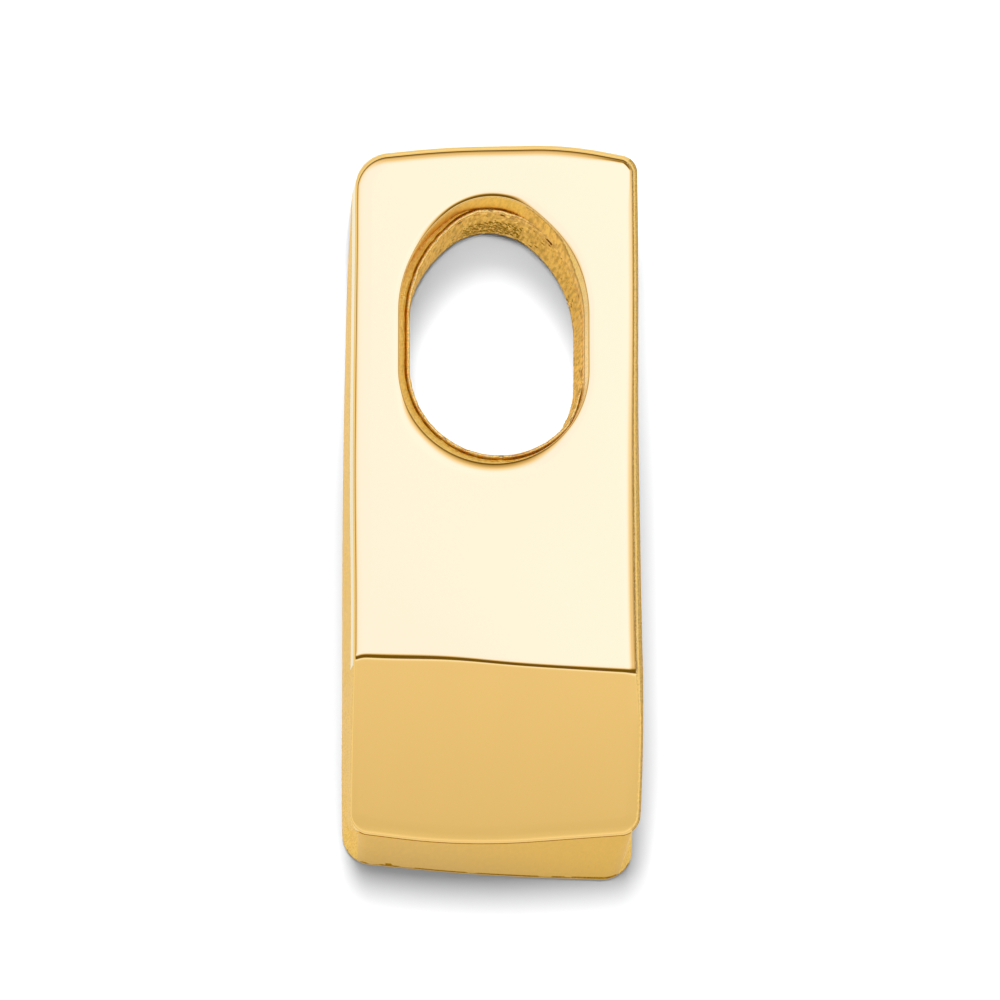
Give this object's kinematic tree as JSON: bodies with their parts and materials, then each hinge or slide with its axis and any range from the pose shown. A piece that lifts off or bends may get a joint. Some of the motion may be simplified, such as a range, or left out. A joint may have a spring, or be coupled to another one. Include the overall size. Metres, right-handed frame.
{
  "type": "slide pendant",
  "caption": "Narrow gold slide with a bent polished front, a sloped foot and a long oval tunnel for a chain.",
  "frame": {"origin": "on the flat back, at the middle of the piece's box", "axes": "+Z out of the polished front, towards the viewer; +Y along the bar, towards the end with the tunnel; +X to the right, seen from the front"},
  "size_m": [0.0058, 0.0146, 0.0034],
  "materials": {
    "yellow_gold": "polished front and foot, fine satin sides, rough cast tunnel wall"
  },
  "bodies": {
    "root": {"slide_body": "yellow_gold"}
  },
  "joints": []
}
